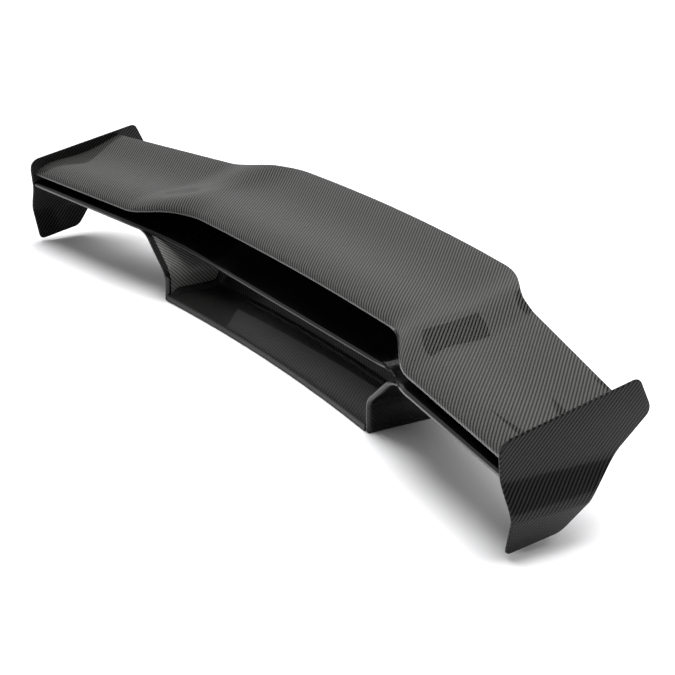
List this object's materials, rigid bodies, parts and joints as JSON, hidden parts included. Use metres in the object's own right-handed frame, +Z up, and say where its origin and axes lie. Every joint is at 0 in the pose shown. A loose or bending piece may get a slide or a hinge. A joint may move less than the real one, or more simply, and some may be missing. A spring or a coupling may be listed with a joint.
{
  "type": "racing rear wing",
  "caption": "Twin-plane carbon rear wing with endplates, carried over a ducktail base by two flared fins that bolt to a car's rear deck.",
  "frame": {"origin": "middle of the footprint box, on the deck that the rubber seals rest on", "axes": "+X towards the car's right side along the span, +Y towards the rear of the car, +Z up"},
  "size_m": [1.8578, 0.4234, 0.2424],
  "materials": {
    "carbon_twill": "2x2 twill carbon laminate under gloss clear coat",
    "black_carbon": "black laminate under gloss clear coat",
    "alloy": "machined satin",
    "foam_core": "matt structural foam",
    "steel": "satin",
    "seal_rubber": "matt"
  },
  "bodies": {
    "root": {"upper_plane_top_skin": "carbon_twill", "blade_bottom_skin": "carbon_twill", "endplate_left": "carbon_twill", "endplate_right": "carbon_twill", "fin_outer_shell_left": "carbon_twill", "fin_outer_shell_right": "carbon_twill", "fin_inner_cover_left": "carbon_twill", "fin_inner_cover_right": "carbon_twill", "base_skin": "carbon_twill", "upper_plane_bottom_skin": "black_carbon", "blade_top_skin": "black_carbon", "base_under_panel": "black_carbon", "upper_plane_spar": "alloy", "fin_hardpoint_left": "alloy", "fin_hardpoint_right": "alloy", "fin_front_post_left": "alloy", "fin_front_post_right": "alloy", "fin_rear_post_left": "alloy", "fin_rear_post_right": "alloy", "base_end_rib_left": "alloy", "base_end_rib_right": "alloy", "slot_bracket_1": "alloy", "slot_bracket_2": "alloy", "slot_bracket_3": "alloy", "slot_bracket_4": "alloy", "upper_tip_rib_left": "foam_core", "upper_tip_rib_right": "foam_core", "upper_mid_rib_left": "foam_core", "upper_mid_rib_right": "foam_core", "blade_tip_rib_left": "foam_core", "blade_tip_rib_right": "foam_core", "tip_dowel_upper_front_left": "steel", "tip_dowel_upper_front_right": "steel", "tip_dowel_upper_rear_left": "steel", "tip_dowel_upper_rear_right": "steel", "tip_dowel_blade_left": "steel", "tip_dowel_blade_right": "steel", "fin_bolt_1_left": "steel", "fin_bolt_1_right": "steel", "fin_bolt_2_left": "steel", "fin_bolt_2_right": "steel", "deck_insert_1": "steel", "deck_insert_2": "steel", "deck_insert_3": "steel", "deck_insert_4": "steel", "deck_insert_5": "steel", "deck_insert_6": "steel", "base_edge_seal": "seal_rubber", "fin_foot_seal_left": "seal_rubber", "fin_foot_seal_right": "seal_rubber"}
  },
  "joints": []
}
